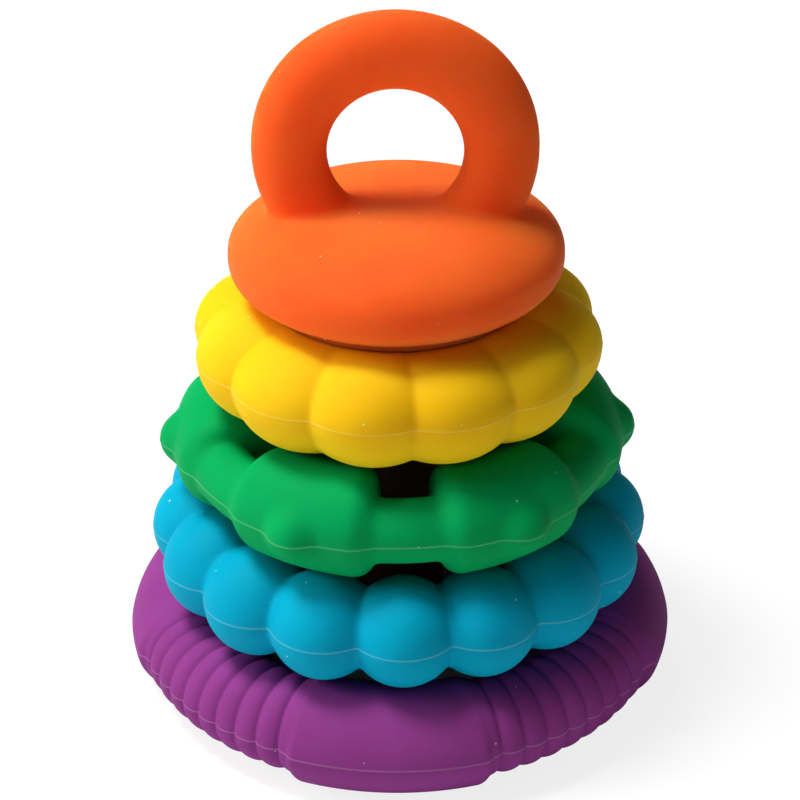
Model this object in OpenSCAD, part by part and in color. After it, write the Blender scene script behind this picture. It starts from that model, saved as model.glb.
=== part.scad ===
/* [Base ring] */
// Radius of the base ring's centreline
base_ring_r = 41.3; // [40.5:0.1:42]
// Tube radius of its four smooth segments
base_pad_r = 10.4; // [10:0.1:10.8]
// Tube radius at the crests of its ribs
base_rib_r = 9.4; // [9:0.1:9.8]
// Ribs from one smooth segment to the next, where the outer two run into the segments
rib_count = 10; // [8:1:12]
// Angle from one rib to the next
rib_pitch = 5.35; // [4.8:0.05:5.6]
// Half of the angle that a smooth segment spans
pad_half_angle = 21.7; // [20:0.1:24]

/* [Bead ring] */
// Radius of the bead ring's centreline
bead_ring_r = 36.6; // [36:0.1:38]
// Radius of one bead
bead_r = 10; // [9.5:0.1:10.5]
// Beads around the ring
bead_count = 16; // [14:1:18]

/* [Knob ring] */
// Radius of the centreline of the knob ring's thick segments
knob_ring_r = 31.8; // [31:0.1:33]
// Tube radius of its thick segments
thick_r = 9.9; // [9.4:0.1:10.4]
// Radius of the centreline of the thin links between them, which lie further out
link_ring_r = 34.4; // [33:0.1:35.5]
// Tube radius of the links
link_r = 5.7; // [5:0.1:7]
// Half of the angle that a thick segment spans
thick_half_angle = 20.5; // [14:0.5:23]
// Radius of a knob
knob_r = 5; // [3.5:0.1:5.5]
// How far a knob stands out of its segment
knob_rise = 2.6; // [1:0.1:3.5]

/* [Petal ring] */
// Outer radius of the petal ring
petal_out_r = 37.4; // [36.5:0.1:38.5]
// Tube radius of the petal ring
petal_r = 10; // [9.5:0.1:10.5]
// Petals around the ring
petal_count = 12; // [10:1:14]
// Plan radius of one petal's outer curve
petal_arc_r = 14.5; // [14:0.1:20]

/* [Handle cap] */
// Radius of the cap
cap_r = 30; // [29:0.1:30.5]
// Half of the cap's thickness
cap_half_h = 9.25; // [9:0.05:10]
// Centreline radius of the handle's arch
arch_r = 18.6; // [18:0.1:20]
// Radius of the cap's foot, which rests on the petal ring
foot_r = 24; // [20:0.5:25]
// Drop of the foot below the cap's middle
foot_drop = 7.9; // [7:0.05:8]
// Half of the handle's width, across its flat
arch_half_w = 6.6; // [5.5:0.1:7]
// Half of the handle's thickness, from front to back
arch_half_d = 4.6; // [4:0.1:6.5]
// Height of the arch's centre above the cap's middle
arch_rise = 19.25; // [18:0.05:22]
// Radius of the stem where it leaves the cap
stem_top_r = 10.5; // [10:0.1:13]
// Radius of the stem's rounded tip
stem_tip_r = 8.5; // [7:0.1:10]

/* [Fit] */
// Clearance between one piece and the next
gap = 0.3; // [0.25:0.05:0.6]

/* [Hidden] */
$fn = 64;

edge_step = 0.15;       // a rounded end starts this much inside its segment
pad_edge_r = 2.2;       // rounding at the ends of the base ring's smooth segments
thick_edge_r = 3;       // rounding at the ends of the knob ring's thick segments
rib_depth = 0.9;        // from a rib's crest down to the valley beside it
rib_shoulder = 0.3;     // height of the step on each side of a rib's crest
cap_power = 2.5;        // exponent of the cap's rounded outline
cap_points = 40;        // points along half of that outline
arch_points = 48;       // points round the handle's oval section
cap_nest = 1.1;         // how far the cap's underside sinks into the petal ring
foot_cut = 0.8;         // taken off the underside of the smooth segments, to stand on
stem_foot_z = 4;        // the tip of the stem stays this far above the table
half_turn = 180;
plan_r = 60;            // reaches past every ring

// Rings of round section rest in one another, so the step from one centre height
// to the next follows from the two tube radii and the two centreline radii
function nest(r1, r2, ring1, ring2) = sqrt(pow(r1 + r2 + gap, 2) - pow(ring1 - ring2, 2));

base_z = base_pad_r - foot_cut;
bead_z = base_z + nest(base_pad_r, bead_r, base_ring_r, bead_ring_r);
knob_z = bead_z + nest(bead_r, thick_r, bead_ring_r, knob_ring_r);
petal_ring_r = petal_out_r - petal_r;
petal_z = knob_z + nest(thick_r, petal_r, knob_ring_r, petal_ring_r);
cap_z = petal_z + petal_r + cap_half_h - cap_nest;
arch_z = cap_z + arch_rise;

quarter = 360 / 4;
sixth = 360 / 6;
pad_turn = -2.5;        // each ring is left turned by this much, as it was dropped on
bead_turn = 1;
knob_turn = 2.5;
petal_turn = 4.8;

// Part of a ring of round section, from one angle to another about +Z.
// Angle 0 points to the front, along -Y
module tube_slice(ring_r, tube_r, from, to) {
    rotate([0, 0, from - quarter]) rotate_extrude(angle = to - from)
        translate([ring_r, 0]) circle(r = tube_r);
}

// Disc with a rounded rim, square to the tube, that rounds off the end of a slice
module round_end(ring_r, tube_r, edge_r, at) {
    rotate([0, 0, at - quarter]) translate([ring_r, 0, 0]) rotate([quarter, 0, 0])
        rotate_extrude() {
            translate([0, -edge_r]) square([tube_r - edge_r, 2 * edge_r]);
            translate([tube_r - edge_r, 0]) circle(r = edge_r);
        }
}

// Slice with both ends rounded
module soft_slice(ring_r, tube_r, edge_r, from, to) {
    inset = edge_r / ring_r * half_turn / PI;
    tube_slice(ring_r, tube_r, from + inset, to - inset);
    for (at = [from + inset, to - inset])
        round_end(ring_r, tube_r - edge_step, edge_r, at);
}

// Lowest ring: four smooth segments with ribs between them, and a flat underside
module base_ring() {
    color([0.49, 0.19, 0.47]) intersection() {
        translate([0, 0, base_z]) rotate([0, 0, pad_turn]) {
            rotate_extrude() translate([base_ring_r, 0]) circle(r = base_rib_r - rib_depth);
            for (side = [0 : 3]) rotate([0, 0, side * quarter]) {
                soft_slice(base_ring_r, base_pad_r, pad_edge_r, -pad_half_angle, pad_half_angle);
                for (i = [0 : rib_count - 1]) {
                    at = quarter / 2 + (i - (rib_count - 1) / 2) * rib_pitch;
                    tube_slice(base_ring_r, base_rib_r, at - rib_pitch / 4, at + rib_pitch / 4);
                    tube_slice(base_ring_r, base_rib_r - rib_shoulder,
                               at - 0.4 * rib_pitch, at + 0.4 * rib_pitch);
                }
            }
        }
        cylinder(r = plan_r, h = 3 * base_pad_r);
    }
}

// Second ring: round beads run into one another
module bead_ring() {
    color([0.0, 0.6, 0.74]) translate([0, 0, bead_z]) rotate([0, 0, bead_turn])
        for (i = [0 : bead_count - 1]) rotate([0, 0, i * 360 / bead_count])
            translate([0, -bead_ring_r, 0]) rotate([0, 0, quarter]) sphere(r = bead_r);
}

// Third ring: six thick segments on a thin tube, each with a knob on its outer side
module knob_ring() {
    color([0.0, 0.55, 0.27]) translate([0, 0, knob_z]) rotate([0, 0, knob_turn + sixth / 2]) {
        rotate_extrude() translate([link_ring_r, 0]) circle(r = link_r);
        for (i = [0 : 5]) rotate([0, 0, i * sixth]) {
            soft_slice(knob_ring_r, thick_r, thick_edge_r, -thick_half_angle, thick_half_angle);
            translate([0, -(knob_ring_r + thick_r + knob_rise - knob_r), 0]) sphere(r = knob_r);
        }
    }
}

// Fat disc with a rounded rim whose edge is one petal's outer curve
module petal() {
    core_r = petal_arc_r - petal_r;
    rotate_extrude() intersection() {
        union() {
            translate([core_r, 0]) circle(r = petal_r);
            translate([0, -petal_r]) square([core_r, 2 * petal_r]);
        }
        translate([0, -petal_r]) square([petal_arc_r, 2 * petal_r]);
    }
}

// Fourth ring: petals side by side, round in section, with a smooth hole
module petal_ring() {
    hole_tube_r = petal_r + 0.8;    // the hole's wall is a wider curve than the rim's
    color([0.96, 0.8, 0.08]) translate([0, 0, petal_z]) rotate([0, 0, petal_turn])
        intersection() {
            for (i = [0 : petal_count - 1]) rotate([0, 0, (i + 0.5) * 360 / petal_count])
                translate([0, petal_arc_r - petal_out_r, 0]) petal();
            rotate_extrude() translate([petal_ring_r - petal_r + hole_tube_r, 0])
                circle(r = hole_tube_r);
        }
}

// Radius and height of a point on the cap's outline, from its top to its bottom
function cap_point(t) = [
    cap_r * pow(abs(sin(t)), 2 / cap_power),
    cap_half_h * sign(cos(t)) * pow(abs(cos(t)), 2 / cap_power)
];

// Point on the handle's oval section
function arch_point(t) = [arch_r + arch_half_w * cos(t), arch_half_d * sin(t)];

// Top piece: cushion-shaped cap, arched handle, and the stem that holds the stack
module handle_cap() {
    stem_h = cap_z - stem_foot_z - stem_tip_r;
    color([0.95, 0.34, 0.1]) {
        translate([0, 0, cap_z]) rotate_extrude()
            polygon([for (i = [0 : cap_points]) cap_point(i * half_turn / cap_points)]);
        translate([0, 0, cap_z - foot_drop]) cylinder(h = foot_drop, r = foot_r);
        translate([0, 0, arch_z]) rotate([quarter, 0, 0])
            rotate_extrude() polygon([for (i = [0 : arch_points - 1]) arch_point(i * 360 / arch_points)]);
        translate([0, 0, stem_foot_z + stem_tip_r])
            cylinder(r1 = stem_tip_r + edge_step, r2 = stem_top_r, h = stem_h);
        translate([0, 0, stem_foot_z + stem_tip_r]) sphere(r = stem_tip_r);
    }
}

base_ring();
bead_ring();
knob_ring();
petal_ring();
handle_cap();
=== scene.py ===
import math

import bmesh
import bpy
import numpy as np
from mathutils import Matrix, Vector


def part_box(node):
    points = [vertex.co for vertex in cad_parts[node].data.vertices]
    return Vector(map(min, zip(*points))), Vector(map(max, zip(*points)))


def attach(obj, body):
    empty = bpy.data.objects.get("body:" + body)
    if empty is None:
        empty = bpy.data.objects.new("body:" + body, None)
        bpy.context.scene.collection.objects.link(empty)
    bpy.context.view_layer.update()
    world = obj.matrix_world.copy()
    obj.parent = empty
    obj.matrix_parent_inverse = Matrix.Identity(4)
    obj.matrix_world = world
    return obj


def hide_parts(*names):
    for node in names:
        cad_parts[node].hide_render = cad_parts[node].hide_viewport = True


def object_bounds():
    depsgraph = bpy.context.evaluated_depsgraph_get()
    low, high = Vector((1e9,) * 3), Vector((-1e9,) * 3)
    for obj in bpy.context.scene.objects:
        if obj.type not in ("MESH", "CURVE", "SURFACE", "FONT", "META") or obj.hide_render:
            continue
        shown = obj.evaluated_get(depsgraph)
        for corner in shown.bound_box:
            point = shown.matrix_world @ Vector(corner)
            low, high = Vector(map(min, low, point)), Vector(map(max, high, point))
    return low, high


# A ring stacker in soft silicone: five mouldings, each one piece, all in metres
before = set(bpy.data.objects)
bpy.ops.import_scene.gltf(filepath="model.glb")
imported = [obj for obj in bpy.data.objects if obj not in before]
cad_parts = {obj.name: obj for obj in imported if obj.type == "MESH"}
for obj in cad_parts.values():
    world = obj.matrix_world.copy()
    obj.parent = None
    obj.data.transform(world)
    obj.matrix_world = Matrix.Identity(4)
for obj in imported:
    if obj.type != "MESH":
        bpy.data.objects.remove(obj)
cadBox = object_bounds()
scene = bpy.context.scene
print("frame loaded:", ", ".join(sorted(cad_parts)))


# Soft joins and cuts between simple forms, and the steps that make a piece from them
def smoothUnion(first, second, soften):   # joins two shapes with a fillet about as wide as soften
    share = np.clip(0.5 + 0.5 * (second - first) / soften, 0, 1)
    return second * (1 - share) + first * share - soften * share * (1 - share)


def smoothCut(first, second, soften):     # keeps what is inside both shapes
    return -smoothUnion(-first, -second, soften)


def fromNearest(turn, pitch, start):      # signed angle to the nearest of a row of features
    return (turn - start + pitch / 2) % pitch - pitch / 2


def roundedSegment(along, off, halfLength, radius, edge):   # a bar of round section with soft ends
    side = off - (radius - edge)
    end = np.abs(along) - (halfLength - edge)
    outside = np.hypot(np.maximum(side, 0), np.maximum(end, 0))
    return outside + np.minimum(np.maximum(side, end), 0) - edge


def readPoints(bm):
    return np.array([vert.co for vert in bm.verts])


def writePoints(bm, points):
    for vert, point in zip(bm.verts, points):
        vert.co = point


def smoothAll(bm, share):
    bmesh.ops.smooth_vert(bm, verts=bm.verts, factor=share,
                          use_axis_x=True, use_axis_y=True, use_axis_z=True)


# A plain ring of round section about +Z, spun in wide steps and then divided
def spinRing(ring):
    bm = bmesh.new()
    bmesh.ops.create_circle(bm, segments=ring["sections"], radius=ring["tubeRadius"])
    bmesh.ops.rotate(bm, verts=bm.verts, cent=(0, 0, 0), matrix=Matrix.Rotation(math.pi / 2, 3, "X"))
    bmesh.ops.translate(bm, verts=bm.verts, vec=(ring["ringRadius"], 0, 0))
    bmesh.ops.spin(bm, geom=bm.verts[:] + bm.edges[:], cent=(0, 0, 0), axis=(0, 0, 1),
                   angle=2 * math.pi, steps=ring["steps"], use_merge=True)
    alongTurn = [edge for edge in bm.edges
                 if abs(edge.verts[0].co.xy.cross(edge.verts[1].co.xy)) > 1e-9]
    bmesh.ops.subdivide_edges(bm, edges=alongTurn, cuts=ring["cuts"])
    return bm


# The surface is looked for between two shares of the tube's radius, and the skin is then eased a little
moulding = dict(nearest=0.3, furthest=1.7, halvings=24, smoothShare=0.3)


def mouldRing(bm, ring, shape):           # moves each point out from the centreline to the moulded surface
    points = readPoints(bm)
    turn = np.arctan2(points[:, 0], -points[:, 1])      # 0 at the front, growing to the right
    tilt = np.arctan2(points[:, 2], np.hypot(points[:, 0], points[:, 1]) - ring["ringRadius"])
    tilt = tilt - ring["crowding"] * np.sin(tilt) + ring["seamRise"] / ring["tubeRadius"]
    near = np.full(len(points), moulding["nearest"] * ring["tubeRadius"])
    far = np.full(len(points), moulding["furthest"] * ring["tubeRadius"])
    for halving in range(moulding["halvings"]):
        reach = (near + far) / 2
        inside = shape(turn, ring["ringRadius"] + reach * np.cos(tilt), reach * np.sin(tilt)) < 0
        near = np.where(inside, reach, near)
        far = np.where(inside, far, reach)
    height = reach * np.sin(tilt) - ring["seamRise"]
    seam = np.exp(-(height / ring["seamWidth"]) ** 2) * (np.cos(tilt) > 0)
    reach = reach + ring["seamHeight"] * seam           # fine flash line where the mould halves meet
    out = ring["ringRadius"] + reach * np.cos(tilt)
    points = np.column_stack([out * np.sin(turn), -out * np.cos(turn), reach * np.sin(tilt)])
    writePoints(bm, points)
    for passes in range(ring["smoothing"]):
        smoothAll(bm, moulding["smoothShare"])


def finishPiece(bm, name, middle, node, material):
    bmesh.ops.translate(bm, verts=bm.verts, vec=(0, 0, middle))
    bmesh.ops.recalc_face_normals(bm, faces=bm.faces)
    for face in bm.faces:
        face.smooth = True
    mesh = bpy.data.meshes.new(name)
    bm.to_mesh(mesh)
    bm.free()
    mesh.materials.append(material)
    piece = bpy.data.objects.new(name, mesh)
    scene.collection.objects.link(piece)
    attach(piece, node)
    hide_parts(node)
    print("made", name, "with", len(mesh.polygons), "faces")
    return piece


def middleOf(node):
    low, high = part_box(node)
    return (low.z + high.z) / 2


# Node groups that the silicones share; the handle cap alone has no flash line
def newGroup(name, inputs, outputs):
    group = bpy.data.node_groups.new(name, "ShaderNodeTree")
    for label, kind, value in inputs:
        socket = group.interface.new_socket(name=label, in_out="INPUT", socket_type=kind)
        if value is not None:
            socket.default_value = value
    for label, kind in outputs:
        group.interface.new_socket(name=label, in_out="OUTPUT", socket_type=kind)
    return group, group.nodes.new("NodeGroupInput"), group.nodes.new("NodeGroupOutput")


def mathNode(tree, operation, first, second=None, third=None, clamp=False):
    node = tree.nodes.new("ShaderNodeMath")
    node.operation = operation
    node.use_clamp = clamp
    for slot, value in enumerate((first, second, third)):
        if value is None:
            continue
        if isinstance(value, (int, float)):
            node.inputs[slot].default_value = value
        else:
            tree.links.new(value, node.inputs[slot])
    return node.outputs[0]


def mapRange(tree, value, fromLow, fromHigh, toLow=0.0, toHigh=1.0):
    node = tree.nodes.new("ShaderNodeMapRange")
    node.interpolation_type = "SMOOTHSTEP"
    for label, number in (("From Min", fromLow), ("From Max", fromHigh),
                          ("To Min", toLow), ("To Max", toHigh)):
        node.inputs[label].default_value = number
    tree.links.new(value, node.inputs["Value"])
    return node.outputs["Result"]


def noiseNode(tree, vector, scale, detail, roughness=0.5):
    node = tree.nodes.new("ShaderNodeTexNoise")
    node.inputs["Detail"].default_value = detail
    node.inputs["Roughness"].default_value = roughness
    if isinstance(scale, (int, float)):
        node.inputs["Scale"].default_value = scale
    else:
        tree.links.new(scale, node.inputs["Scale"])
    tree.links.new(vector, node.inputs["Vector"])
    return node.outputs["Fac"]


def mixColour(tree, share, first, second):
    node = tree.nodes.new("ShaderNodeMix")
    node.data_type = "RGBA"
    for socket, value in ((node.inputs[0], share), (node.inputs[6], first), (node.inputs[7], second)):
        if isinstance(value, (int, float, tuple)):
            socket.default_value = value
        else:
            tree.links.new(value, socket)
    return node.outputs[2]


def makeSpeckGroup():                     # tiny pale dust specks, thinly scattered
    group, given, put = newGroup("dustSpecks", [
        ("Vector", "NodeSocketVector", None), ("Cells", "NodeSocketFloat", 320.0),
        ("Size", "NodeSocketFloat", 0.06), ("Share", "NodeSocketFloat", 0.1)], [("Mask", "NodeSocketFloat")])
    cells = group.nodes.new("ShaderNodeTexVoronoi")
    group.links.new(given.outputs["Vector"], cells.inputs["Vector"])
    group.links.new(given.outputs["Cells"], cells.inputs["Scale"])
    apart = group.nodes.new("ShaderNodeSeparateColor")
    group.links.new(cells.outputs["Color"], apart.inputs["Color"])
    chosen = mathNode(group, "LESS_THAN", apart.outputs["Red"], given.outputs["Share"])
    varied = mathNode(group, "ADD", apart.outputs["Green"], 0.35)
    size = mathNode(group, "MULTIPLY", given.outputs["Size"], varied)
    fromCentre = mathNode(group, "DIVIDE", cells.outputs["Distance"], size)
    dot = mathNode(group, "SUBTRACT", 1.0, fromCentre, clamp=True)
    mask = mathNode(group, "MULTIPLY", chosen, mathNode(group, "MULTIPLY", dot, 2.5, clamp=True))
    group.links.new(mask, put.inputs["Mask"])
    return group


def makeGrainGroup():                     # the moulding's fine matt grain and its slow mottling
    group, given, put = newGroup("mouldGrain", [
        ("Vector", "NodeSocketVector", None), ("Fine", "NodeSocketFloat", 2600.0),
        ("Slow", "NodeSocketFloat", 60.0)], [("Height", "NodeSocketFloat"), ("Mottle", "NodeSocketFloat")])
    fine = noiseNode(group, given.outputs["Vector"], given.outputs["Fine"], 3, 0.6)
    slow = noiseNode(group, given.outputs["Vector"], given.outputs["Slow"], 4, 0.6)
    group.links.new(fine, put.inputs["Height"])
    group.links.new(slow, put.inputs["Mottle"])
    return group


def makeSeamGroup():                      # where the flash line runs, at one height on the outer side
    group, given, put = newGroup("seamLine", [
        ("Vector", "NodeSocketVector", None), ("Height", "NodeSocketFloat", 0.0),
        ("Width", "NodeSocketFloat", 0.0002), ("Inner", "NodeSocketFloat", 0.03)],
        [("Mask", "NodeSocketFloat")])
    apart = group.nodes.new("ShaderNodeSeparateXYZ")
    group.links.new(given.outputs["Vector"], apart.inputs["Vector"])
    above = mathNode(group, "SUBTRACT", apart.outputs["Z"], given.outputs["Height"])
    off = mathNode(group, "DIVIDE", mathNode(group, "ABSOLUTE", above), given.outputs["Width"])
    near = mathNode(group, "SUBTRACT", 1.0, off, clamp=True)
    squares = mathNode(group, "ADD", mathNode(group, "POWER", apart.outputs["X"], 2.0),
                       mathNode(group, "POWER", apart.outputs["Y"], 2.0))
    outer = mathNode(group, "GREATER_THAN", mathNode(group, "SQRT", squares), given.outputs["Inner"])
    group.links.new(mathNode(group, "MULTIPLY", near, outer), put.inputs["Mask"])
    return group


def placeGroup(tree, group, vector, **values):
    node = tree.nodes.new("ShaderNodeGroup")
    node.node_tree = group
    tree.links.new(vector, node.inputs["Vector"])
    for label, value in values.items():
        node.inputs[label].default_value = value
    return node


speckGroup = makeSpeckGroup()
grainGroup = makeGrainGroup()
seamGroup = makeSeamGroup()
print("shared material groups made")


def siliconeMaterial(name, look, seamLevel=None, seamInner=0.0):
    material = bpy.data.materials.new(name)
    material.use_nodes = True
    tree = material.node_tree
    shader = tree.nodes["Principled BSDF"]
    where = tree.nodes.new("ShaderNodeTexCoord").outputs["Object"]
    grain = placeGroup(tree, grainGroup, where, Fine=look["grainScale"], Slow=look["mottleScale"])
    mottle = mapRange(tree, grain.outputs["Mottle"], 0.35, 0.65)
    colour = mixColour(tree, mottle, (*look["colour"], 1), (*look["colourWorn"], 1))
    if seamLevel is not None:
        seam = placeGroup(tree, seamGroup, where, Height=seamLevel, Width=look["seamSpread"], Inner=seamInner)
        share = mathNode(tree, "MULTIPLY", seam.outputs["Mask"], look["seamPale"])
        colour = mixColour(tree, share, colour, (*look["palest"], 1))
    specks = placeGroup(tree, speckGroup, where, Cells=look["speckCells"], Size=look["speckSize"],
                        Share=look["speckShare"])
    dust = mathNode(tree, "MULTIPLY", specks.outputs["Mask"], look["speckPale"])
    colour = mixColour(tree, dust, colour, (*look["palest"], 1))
    tree.links.new(colour, shader.inputs["Base Color"])
    low, high = look["roughness"]
    tree.links.new(mapRange(tree, grain.outputs["Mottle"], 0.3, 0.7, low, high), shader.inputs["Roughness"])
    bump = tree.nodes.new("ShaderNodeBump")
    bump.inputs["Strength"].default_value = look["grainStrength"]
    bump.inputs["Distance"].default_value = look["grainDepth"]
    tree.links.new(grain.outputs["Height"], bump.inputs["Height"])
    tree.links.new(bump.outputs["Normal"], shader.inputs["Normal"])
    shader.inputs["IOR"].default_value = look["ior"]
    shader.inputs["Subsurface Weight"].default_value = look["subsurface"]
    shader.inputs["Subsurface Radius"].default_value = look["scatter"]
    shader.inputs["Subsurface Scale"].default_value = look["scatterDepth"]
    shader.inputs["Specular IOR Level"].default_value = look["gloss"]
    return material


siliconeLook = dict(
    grainScale=2600.0, mottleScale=70.0, grainStrength=0.25, grainDepth=0.00005,
    roughness=(0.60, 0.72), ior=1.42, subsurface=0.15, scatter=(1.0, 0.6, 0.4), scatterDepth=0.002,
    gloss=0.07, seamPale=0.18, seamSpread=0.00024,
    speckCells=300.0, speckSize=0.075, speckShare=0.28, speckPale=0.55,
)

# Base ring: four smooth pads, with eight whole ribs and two cut short between each pair, flat below
baseRing = dict(
    ringRadius=0.0413, tubeRadius=0.0104, sections=80, steps=120, cuts=8, crowding=0.8, smoothing=1,
    seamRise=0.0006, seamWidth=0.00013, seamHeight=0.00008,
    padHalfAngle=21.7, padTurn=-2.5, padDepth=0.0100, padPoint=1.75, padEdge=0.0022,
    ribPitch=5.35, ribCrest=0.0094, ribValley=0.0083, ribUnderside=0.83, soften=0.0005,
)
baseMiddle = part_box("base_ring")[1].z - baseRing["tubeRadius"]


def baseShape(turn, out, up):
    ring = baseRing
    quarter = math.pi / 2
    off = fromNearest(turn, quarter, math.radians(ring["padTurn"]))
    across = out - ring["ringRadius"]
    point = np.where(across > 0, ring["padPoint"], 2.0)
    section = ring["tubeRadius"] * (np.abs(across / ring["tubeRadius"]) ** point
                                    + np.abs(up / ring["padDepth"]) ** point) ** (1 / point)
    pads = roundedSegment(off * out, section, math.radians(ring["padHalfAngle"]) * out,
                          ring["tubeRadius"], ring["padEdge"])
    gapOff = fromNearest(turn, quarter, math.radians(ring["padTurn"]) + quarter / 2)
    pitch = math.radians(ring["ribPitch"])
    fromRib = fromNearest(gapOff, pitch, pitch / 2) / (pitch / 2)
    bulge = np.sqrt(np.clip(1 - fromRib ** 2, 0, 1))
    ribUp = np.where(up < 0, up / ring["ribUnderside"], up)      # the ribs stop short of the table
    ribs = np.hypot(across, ribUp) - (ring["ribValley"] + (ring["ribCrest"] - ring["ribValley"]) * bulge)
    body = smoothUnion(pads, ribs, ring["soften"])
    return smoothCut(body, -(up + baseMiddle), ring["soften"])


purple = dict(siliconeLook, colour=(0.257, 0.040, 0.228), colourWorn=(0.28, 0.046, 0.25),
              palest=(0.75, 0.55, 0.75))
bm = spinRing(baseRing)
mouldRing(bm, baseRing, baseShape)
finishPiece(bm, "baseRing", baseMiddle, "base_ring",
            siliconeMaterial("purpleSilicone", purple, baseMiddle + baseRing["seamRise"],
                             baseRing["ringRadius"]))

# Bead ring: sixteen balls run into one another
beadRing = dict(
    ringRadius=0.0366, tubeRadius=0.0100, sections=80, steps=120, cuts=7, crowding=0.8, smoothing=1,
    seamRise=0.0005, seamWidth=0.00013, seamHeight=0.00008,
    beadCount=16, beadTurn=1.0, soften=0.0012,
)


def beadShape(turn, out, up):
    ring = beadRing
    pitch = 2 * math.pi / ring["beadCount"]
    off = np.abs(fromNearest(turn, pitch, math.radians(ring["beadTurn"])))
    beads = [np.sqrt((out * np.sin(angle)) ** 2 + (out * np.cos(angle) - ring["ringRadius"]) ** 2 + up ** 2)
             - ring["tubeRadius"] for angle in (off, pitch - off)]
    return smoothUnion(beads[0], beads[1], ring["soften"])


blue = dict(siliconeLook, colour=(0.0, 0.350, 0.535), colourWorn=(0.0, 0.380, 0.57),
            palest=(0.55, 0.85, 0.92))
bm = spinRing(beadRing)
mouldRing(bm, beadRing, beadShape)
beadMiddle = middleOf("bead_ring")
finishPiece(bm, "beadRing", beadMiddle, "bead_ring",
            siliconeMaterial("blueSilicone", blue, beadMiddle + beadRing["seamRise"],
                             beadRing["ringRadius"]))

# Knob ring: six thick segments on a thinner tube, with a knob on each
knobRing = dict(
    ringRadius=0.0336, tubeRadius=0.0090, sections=80, steps=120, cuts=7, crowding=0.8, smoothing=1,
    seamRise=0.0, seamWidth=0.00013, seamHeight=0.00008,
    segmentRadius=0.0318, segmentTube=0.0099, segmentHalfAngle=20.5, segmentEdge=0.0034,
    linkRadius=0.0344, linkTube=0.0057, knobRadius=0.0050, knobRise=0.0025, knobTurn=2.5, soften=0.0016,
)


def knobShape(turn, out, up):
    ring = knobRing
    sixth = math.pi / 3
    off = fromNearest(turn, sixth, math.radians(ring["knobTurn"]) + sixth / 2)
    segments = roundedSegment(off * ring["segmentRadius"], np.hypot(out - ring["segmentRadius"], up),
                              math.radians(ring["segmentHalfAngle"]) * ring["segmentRadius"],
                              ring["segmentTube"], ring["segmentEdge"])
    links = np.hypot(out - ring["linkRadius"], up) - ring["linkTube"]
    knobOut = ring["segmentRadius"] + ring["segmentTube"] + ring["knobRise"] - ring["knobRadius"]
    fromKnob = np.sqrt((out * np.sin(off)) ** 2 + (out * np.cos(off) - knobOut) ** 2 + up ** 2)
    knobs = fromKnob - ring["knobRadius"]
    return smoothUnion(smoothUnion(segments, links, ring["soften"]), knobs, ring["soften"])


green = dict(siliconeLook, colour=(0.0, 0.335, 0.086), colourWorn=(0.0, 0.365, 0.096),
             palest=(0.5, 0.85, 0.6))
bm = spinRing(knobRing)
mouldRing(bm, knobRing, knobShape)
knobMiddle = middleOf("knob_ring")
finishPiece(bm, "knobRing", knobMiddle, "knob_ring",
            siliconeMaterial("greenSilicone", green, knobMiddle + knobRing["seamRise"],
                             knobRing["ringRadius"]))

# Petal ring: twelve petals round a hole with a rounded edge
petalRing = dict(
    ringRadius=0.0270, tubeRadius=0.0100, sections=80, steps=120, cuts=7, crowding=0.8, smoothing=1,
    seamRise=0.0010, seamWidth=0.00013, seamHeight=0.00008,
    outerRadius=0.0374, petalCount=12, petalArc=0.0145, petalTurn=4.8,
    rimWidth=0.0119, rimDepth=0.0100, rimBelow=0.0114, holeTube=0.0108, holeRadius=0.0174, soften=0.0004,
)


def petalShape(turn, out, up):
    ring = petalRing
    pitch = 2 * math.pi / ring["petalCount"]
    off = np.abs(fromNearest(turn, pitch, math.radians(ring["petalTurn"]) + pitch / 2))
    centre = ring["outerRadius"] - ring["petalArc"]
    core = ring["petalArc"] - ring["rimWidth"]
    petals = []
    rise = ring["seamRise"]
    depth = np.where(up > rise, ring["rimDepth"] - rise, ring["rimBelow"])    # widest at the flash line
    for angle in (off, pitch - off):
        away = np.hypot(out * np.sin(angle), out * np.cos(angle) - centre)
        rim = np.hypot(np.maximum(away - core, 0) / ring["rimWidth"], (up - rise) / depth)
        petals.append((rim - 1) * ring["rimDepth"])
    hole = np.hypot(out - ring["holeRadius"] - ring["holeTube"], up) - ring["holeTube"]
    return smoothCut(smoothUnion(petals[0], petals[1], ring["soften"]), hole, ring["soften"])


yellow = dict(siliconeLook, colour=(0.90, 0.53, 0.006), colourWorn=(0.92, 0.57, 0.010), seamPale=0.12,
              subsurface=0.6, scatter=(1.0, 0.8, 0.3), scatterDepth=0.005, palest=(1.0, 0.95, 0.55))
bm = spinRing(petalRing)
mouldRing(bm, petalRing, petalShape)
petalMiddle = middleOf("petal_ring")
finishPiece(bm, "petalRing", petalMiddle, "petal_ring",
            siliconeMaterial("yellowSilicone", yellow, petalMiddle + petalRing["seamRise"],
                             petalRing["ringRadius"]))

# Handle cap: cushion, foot, loop handle and stem, in one skin
cap = dict(
    radius=0.0301, crown=0.0096, keel=0.0089, power=2.5,
    footRadius=0.0240, footDrop=0.0080, footSoften=0.0008,
    archRadius=0.0186, archWidth=0.0066, archCrest=0.0005, archDepth=0.0048, archRise=0.0194,
    # the stem's dark colour is painted shade, not a colour the moulding is known to have
    stemTop=0.0105, stemTip=0.0085, stemPaintedShade=(0.06, 0.03, 0.02),
    voxel=0.00055, soften=0.0014, settling=6,
)
capLow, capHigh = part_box("handle_cap")
archMiddle = capHigh.z - cap["archRadius"] - cap["archWidth"] - cap["archCrest"] / 2
capMiddle = archMiddle - cap["archRise"]
stemTipMiddle = capLow.z + cap["stemTip"]


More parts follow.
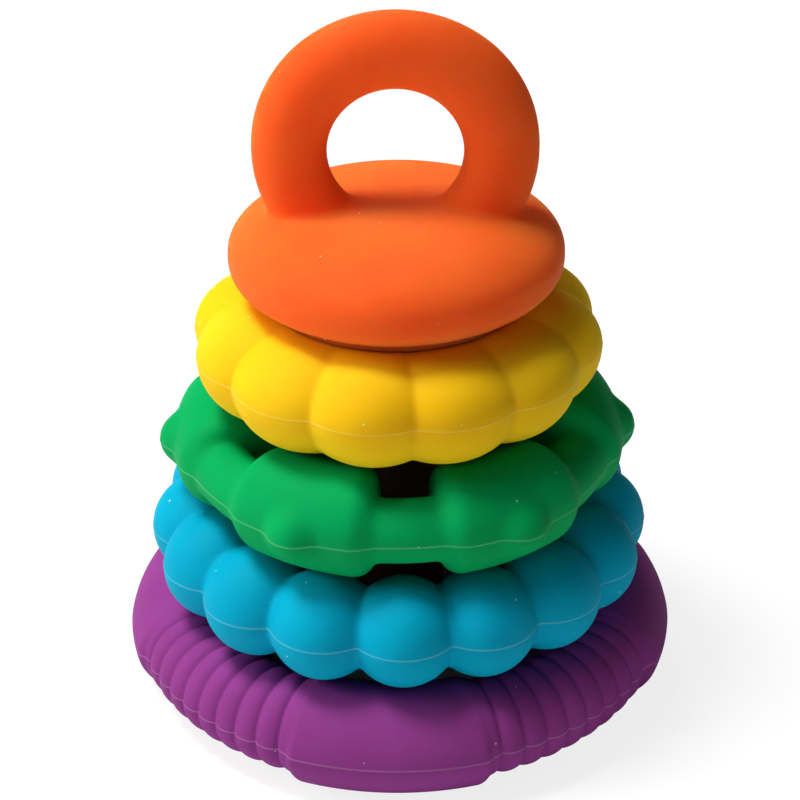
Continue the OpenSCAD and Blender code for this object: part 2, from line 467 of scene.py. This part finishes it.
def capShape(points):
    x, y, z = points.T
    out = np.hypot(x, y)
    up = z - capMiddle
    power = cap["power"]
    half = np.where(up > 0, cap["crown"], cap["keel"])
    reach = (np.abs(out / cap["radius"]) ** power + np.abs(up / half) ** power) ** (1 / power)
    cushion = (reach - 1) * cap["keel"]
    foot = smoothCut(out - cap["footRadius"], -up - cap["footDrop"], cap["footSoften"])
    cushion = smoothUnion(cushion, np.maximum(foot, up), cap["footSoften"])
    archOut = np.hypot(x, z - archMiddle)
    width = cap["archWidth"] + cap["archCrest"] * np.clip((z - archMiddle) / cap["archRadius"], 0, 1)
    arch = (np.hypot((archOut - cap["archRadius"]) / width, y / cap["archDepth"]) - 1) * cap["archDepth"]
    share = np.clip((z - stemTipMiddle) / (capMiddle - stemTipMiddle), 0, 1)
    below = np.minimum(z - stemTipMiddle, 0)
    stem = np.hypot(out, below) - (cap["stemTip"] + (cap["stemTop"] - cap["stemTip"]) * share)
    stem = np.maximum(stem, up)
    return smoothUnion(smoothUnion(cushion, arch, cap["soften"]), stem, cap["soften"])


settle = dict(step=0.00002, corrections=3, smoothShare=0.5, leastSlope=0.05)


def settleOnto(bm, shape, passes):        # slides every point along the shape's slope until it lies on it
    step = settle["step"]
    for settling in range(passes):
        smoothAll(bm, settle["smoothShare"])
        points = readPoints(bm)
        for correction in range(settle["corrections"]):
            depth = shape(points)
            slope = np.column_stack([(shape(points + side) - shape(points - side)) / (2 * step)
                                     for side in np.eye(3) * step])
            points = points - (depth / np.maximum((slope ** 2).sum(1), settle["leastSlope"]))[:, None] * slope
        writePoints(bm, points)


def capBlank():
    bm = bmesh.new()
    bmesh.ops.create_cone(bm, cap_ends=True, segments=96, radius1=cap["radius"], radius2=cap["radius"],
                          depth=2 * cap["keel"], matrix=Matrix.Translation((0, 0, capMiddle)))
    rims = [edge for edge in bm.edges if any(len(face.verts) > 4 for face in edge.link_faces)]
    bmesh.ops.bevel(bm, geom=rims, offset=0.5 * cap["keel"], segments=5, profile=0.5,
                    affect="EDGES", material=-1)
    tube = bmesh.ops.create_circle(bm, segments=40, radius=cap["archDepth"])["verts"]
    bmesh.ops.scale(bm, verts=tube, vec=(cap["archWidth"] / cap["archDepth"], 1, 1))
    bmesh.ops.translate(bm, verts=tube, vec=(cap["archRadius"], 0, archMiddle))
    tubeEdges = list({edge for vert in tube for edge in vert.link_edges})
    bmesh.ops.spin(bm, geom=tube + tubeEdges, cent=(0, 0, archMiddle), axis=(0, 1, 0),
                   angle=2 * math.pi, steps=120, use_merge=True)
    stemLength = capMiddle - stemTipMiddle
    bmesh.ops.create_cone(bm, cap_ends=True, segments=64, radius1=cap["stemTip"], radius2=cap["stemTop"],
                          depth=stemLength, matrix=Matrix.Translation((0, 0, stemTipMiddle + stemLength / 2)))
    bmesh.ops.create_icosphere(bm, subdivisions=4, radius=cap["stemTip"],
                               matrix=Matrix.Translation((0, 0, stemTipMiddle)))
    bmesh.ops.recalc_face_normals(bm, faces=bm.faces)
    return bm


def oneSkin(bm, voxel):                   # joins overlapping solids into one closed skin
    mesh = bpy.data.meshes.new("blank")
    bm.to_mesh(mesh)
    bm.free()
    blank = bpy.data.objects.new("blank", mesh)
    scene.collection.objects.link(blank)
    remesh = blank.modifiers.new("skin", "REMESH")
    remesh.mode = "VOXEL"
    remesh.voxel_size = voxel
    skin = bmesh.new()
    skin.from_object(blank, bpy.context.evaluated_depsgraph_get())
    bpy.data.objects.remove(blank)
    return skin


orange = dict(siliconeLook, colour=(0.86, 0.122, 0.016), colourWorn=(0.88, 0.140, 0.020),
              palest=(1.0, 0.75, 0.55), subsurface=1.0, scatter=(1.0, 0.05, 0.04), scatterDepth=0.012)


def paintShadeOnStem(material, top, shade):      # the stem is a guess: its colour is painted shade, dark below the foot, so the gaps in the rings look dark
    tree = material.node_tree
    baseColour = tree.nodes["Principled BSDF"].inputs["Base Color"]
    coloured = baseColour.links[0].from_socket
    apart = tree.nodes.new("ShaderNodeSeparateXYZ")
    tree.links.new(tree.nodes.new("ShaderNodeTexCoord").outputs["Object"], apart.inputs["Vector"])
    share = mapRange(tree, apart.outputs["Z"], top - 0.002, top)
    tree.links.new(mixColour(tree, share, (*shade, 1), coloured), baseColour)


bm = oneSkin(capBlank(), cap["voxel"])
settleOnto(bm, capShape, cap["settling"])
capMaterial = siliconeMaterial("orangeSilicone", orange)
# painted shade: the stem below the foot is darkened to stand in for the shade seen through the gaps in the
# rings
paintShadeOnStem(capMaterial, capMiddle - cap["footDrop"] - 0.001, cap["stemPaintedShade"])
finishPiece(bm, "handleCap", 0.0, "handle_cap", capMaterial)

# Floor, lamps and camera
stageSet = dict(
    floorSize=6.0, floorColour=(0.92, 0.92, 0.92), floorSeen=(0.25, 0.25, 0.25), floorGlow=0.82,
    underStack=0.040, worldStrength=0.075,
)
lightReach = 0.85                         # from the middle of the stack to every lamp
lights = dict(                            # azimuth from the front, to the right, and elevation, in degrees
    keyAbove=dict(azimuth=-94, elevation=66, power=6.2, size=0.26),
    keySide=dict(azimuth=-86, elevation=24, power=2.6, size=0.30),
    frontLeft=dict(azimuth=-60, elevation=60, power=0.75, size=0.30),
    frontFill=dict(azimuth=-6, elevation=8, power=0.78, size=0.50),
    backFill=dict(azimuth=-170, elevation=40, power=1.1, size=0.40),
)
view = dict(place=(0.0, -0.39281, 0.27879), pitch=29.603, roll=-0.549, lens=109.93, shift=(0.0028, 0.0024))


def makeFloor():
    bm = bmesh.new()
    bmesh.ops.create_grid(bm, x_segments=1, y_segments=1, size=stageSet["floorSize"] / 2)
    mesh = bpy.data.meshes.new("floor")
    bm.to_mesh(mesh)
    bm.free()
    floor = bpy.data.objects.new("floor", mesh)
    scene.collection.objects.link(floor)
    material = bpy.data.materials.new("paleFloor")
    material.use_nodes = True
    tree = material.node_tree
    tree.nodes.remove(tree.nodes["Principled BSDF"])
    paint = tree.nodes.new("ShaderNodeBsdfDiffuse")
    glow = tree.nodes.new("ShaderNodeEmission")
    both = tree.nodes.new("ShaderNodeAddShader")
    seen = tree.nodes.new("ShaderNodeLightPath").outputs["Is Camera Ray"]   # the camera sees it nearly white
    colour = mixColour(tree, seen, (*stageSet["floorColour"], 1), (*stageSet["floorSeen"], 1))
    where = tree.nodes.new("ShaderNodeTexCoord").outputs["Object"]
    length = tree.nodes.new("ShaderNodeVectorMath")
    length.operation = "LENGTH"
    tree.links.new(where, length.inputs[0])
    outside = mathNode(tree, "GREATER_THAN", length.outputs["Value"], stageSet["underStack"])
    strength = mathNode(tree, "MULTIPLY", mathNode(tree, "MULTIPLY", seen, outside), stageSet["floorGlow"])
    tree.links.new(strength, glow.inputs["Strength"])
    tree.links.new(colour, paint.inputs["Color"])
    tree.links.new(paint.outputs["BSDF"], both.inputs[0])
    tree.links.new(glow.outputs["Emission"], both.inputs[1])
    tree.links.new(both.outputs["Shader"], tree.nodes["Material Output"].inputs["Surface"])
    mesh.materials.append(material)


def makeLight(name, lamp):
    data = bpy.data.lights.new(name, "AREA")
    data.shape = "DISK"
    data.size = lamp["size"]
    data.energy = lamp["power"]
    light = bpy.data.objects.new(name, data)
    azimuth, elevation = math.radians(lamp["azimuth"]), math.radians(lamp["elevation"])
    away = Vector((math.sin(azimuth) * math.cos(elevation), -math.cos(azimuth) * math.cos(elevation),
                   math.sin(elevation)))
    light.location = Vector((0, 0, cadBox[1].z / 2)) + away * lightReach
    light.rotation_euler = away.to_track_quat("Z", "Y").to_euler()
    scene.collection.objects.link(light)


def makeCamera():
    data = bpy.data.cameras.new("camera")
    data.sensor_width = 36.0
    data.lens = view["lens"]
    data.shift_x, data.shift_y = view["shift"]
    data.clip_start, data.clip_end = 0.01, 20.0
    camera = bpy.data.objects.new("camera", data)
    turned = Matrix.Rotation(math.radians(90 - view["pitch"]), 4, "X") @ Matrix.Rotation(
        math.radians(view["roll"]), 4, "Z")
    camera.matrix_world = Matrix.Translation(view["place"]) @ turned
    scene.collection.objects.link(camera)
    scene.camera = camera


makeFloor()
for lampName, lamp in lights.items():
    makeLight(lampName, lamp)
makeCamera()
world = bpy.data.worlds.new("softRoom")
world.use_nodes = True
world.node_tree.nodes["Background"].inputs["Color"].default_value = (1, 1, 1, 1)
world.node_tree.nodes["Background"].inputs["Strength"].default_value = stageSet["worldStrength"]
scene.world = world
scene.view_settings.view_transform = "Standard"
print("floor, lights and camera made")
